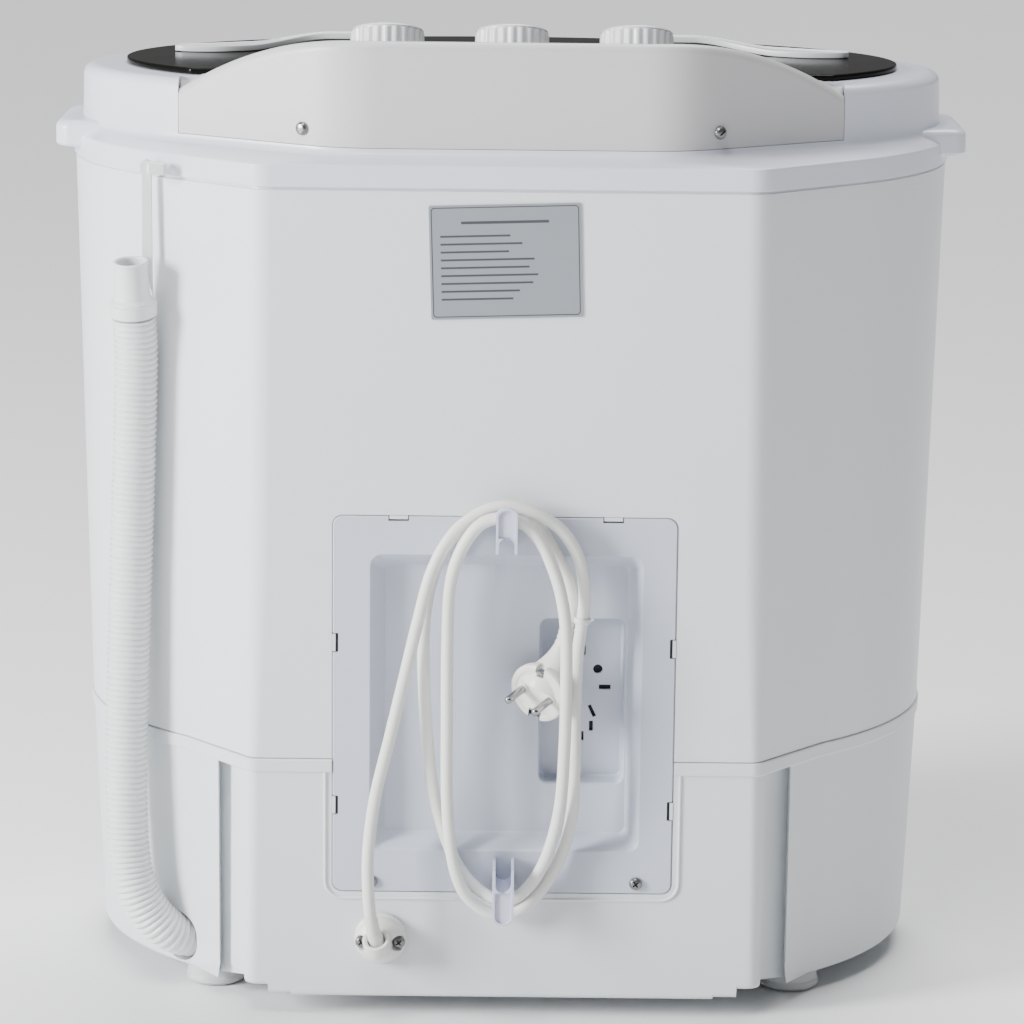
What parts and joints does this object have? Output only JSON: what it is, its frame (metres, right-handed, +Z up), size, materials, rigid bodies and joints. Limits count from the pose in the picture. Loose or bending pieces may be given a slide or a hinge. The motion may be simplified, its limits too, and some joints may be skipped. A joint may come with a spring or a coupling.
{
  "type": "twin tub washer",
  "caption": "Compact oval twin tub washing machine with a wash tub and a spin drum under two smoked lids, dial controls, rear cord hooks, drain hose and mains lead",
  "frame": {"origin": "on the floor, under the middle of the body and its cord hooks", "axes": "+Z up; the front faces -Y; the service side with the lead, hose and cord hooks faces +Y; the spin drum and the drain hose are on the +X side"},
  "size_m": [0.568, 0.3881, 0.6077],
  "materials": {
    "white_plastic": "satin moulded",
    "grey_plastic": "satin moulded",
    "dark_plastic": "gloss",
    "smoked_clear": "smoked, glossy",
    "cover_blue_grey": "satin moulded",
    "bakelite": "matte",
    "motor_steel": "semi-gloss",
    "cast_metal": "as cast",
    "rubber": "matte",
    "pulley_nylon": "matte",
    "steel": "brushed",
    "hose_white": "satin",
    "cord_white": "satin",
    "label_foil": "brushed foil"
  },
  "bodies": {
    "cabinet": {"base_housing": "white_plastic", "outer_casing": "white_plastic", "top_cover": "white_plastic", "control_housing": "grey_plastic", "control_fascia": "dark_plastic", "spin_timer": "bakelite", "drain_selector": "bakelite", "wash_timer": "bakelite", "wash_tub": "white_plastic", "lint_filter": "white_plastic", "wash_gearbox": "cast_metal", "drive_belt": "rubber", "wash_motor": "motor_steel", "wash_motor_bracket": "steel", "spin_outer_tub": "white_plastic", "spin_shaft_seal": "rubber", "spin_motor": "motor_steel", "spin_motor_mount_1": "rubber", "spin_motor_mount_2": "rubber", "spin_motor_mount_3": "rubber", "spin_brake_post": "steel", "drain_valve_body": "white_plastic", "drain_pipe": "white_plastic", "drain_hose": "hose_white", "hose_end": "hose_white", "hose_hanger": "hose_white", "access_cover": "cover_blue_grey", "cord_hook_upper": "cover_blue_grey", "cord_hook_lower": "cover_blue_grey", "rating_label": "label_foil", "cord_clamp": "cord_white", "housing_screw_1": "steel", "housing_screw_2": "steel", "cover_screw_1": "steel", "cover_screw_2": "steel", "clamp_screw_1": "steel", "clamp_screw_2": "steel", "foot_rear_left": "grey_plastic", "foot_rear_right": "grey_plastic", "foot_front_left": "grey_plastic", "foot_front_right": "grey_plastic", "power_cord": "cord_white", "power_plug": "cord_white", "plug_pin_1": "steel", "plug_pin_2": "steel", "cable_tie": "cord_white"},
    "wash_lid": {"wash_lid": "smoked_clear", "wash_lid_grip": "white_plastic"},
    "spin_lid": {"spin_lid": "smoked_clear", "spin_lid_grip": "white_plastic"},
    "spin_timer_knob": {"spin_timer_knob": "white_plastic"},
    "drain_selector_knob": {"drain_selector_knob": "white_plastic"},
    "wash_timer_knob": {"wash_timer_knob": "white_plastic"},
    "pulsator": {"pulsator": "grey_plastic", "pulsator_pulley": "pulley_nylon"},
    "motor_rotor": {"motor_pulley": "pulley_nylon"},
    "spin_drum": {"spin_basket": "grey_plastic", "spin_brake_shaft": "steel"},
    "brake_lever": {"spin_brake_lever": "steel"},
    "drain_plug": {"drain_valve_plug": "rubber"}
  },
  "joints": [
    {"name": "wash_lid_hinge", "type": "hinge", "parent": "cabinet", "child": "wash_lid", "pos_m": [-0.1, 0.0633, 0.572], "axis": [-1, 0, 0], "range_deg": [0, 95]},
    {"name": "spin_lid_hinge", "type": "hinge", "parent": "cabinet", "child": "spin_lid", "pos_m": [0.1, 0.0633, 0.572], "axis": [-1, 0, 0], "range_deg": [0, 95]},
    {"name": "wash_timer_turn", "type": "hinge", "parent": "cabinet", "child": "wash_timer_knob", "pos_m": [-0.0745, 0.1155, 0.58451], "axis": [0, -0.2946, 0.9556], "range_deg": [-330, 0]},
    {"name": "drain_selector_turn", "type": "hinge", "parent": "cabinet", "child": "drain_selector_knob", "pos_m": [0, 0.1155, 0.58451], "axis": [0, -0.2946, 0.9556], "range_deg": [0, 90]},
    {"name": "spin_timer_turn", "type": "hinge", "parent": "cabinet", "child": "spin_timer_knob", "pos_m": [0.0745, 0.1155, 0.58451], "axis": [0, -0.2946, 0.9556], "range_deg": [-300, 0]},
    {"name": "pulsator_turn", "type": "hinge", "parent": "cabinet", "child": "pulsator", "pos_m": [-0.122, -0.0415, 0.219], "axis": [0, 0, 1], "continuous": true},
    {"name": "motor_rotor_turn", "type": "hinge", "parent": "cabinet", "child": "motor_rotor", "pos_m": [-0.03, 0.0335, 0.06], "axis": [0, 0, 1], "continuous": true},
    {"name": "spin_drum_turn", "type": "hinge", "parent": "cabinet", "child": "spin_drum", "pos_m": [0.128, -0.0365, 0], "axis": [0, 0, 1], "continuous": true},
    {"name": "brake_lever_swing", "type": "hinge", "parent": "cabinet", "child": "brake_lever", "pos_m": [0.065, -0.0035, 0.156], "axis": [0, 0, 1], "range_deg": [0, 9.5]},
    {"name": "drain_plug_lift", "type": "slide", "parent": "cabinet", "child": "drain_plug", "axis": [0, 0, 1], "range_m": [0, 0.012]}
  ],
  "couplings": [
    {"joint": "motor_rotor_turn", "follows": "pulsator_turn", "ratio": 3},
    {"joint": "drain_plug_lift", "follows": "drain_selector_turn", "m_per_rad": 0.0076},
    {"joint": "brake_lever_swing", "follows": "spin_lid_hinge", "ratio": 0.1}
  ]
}
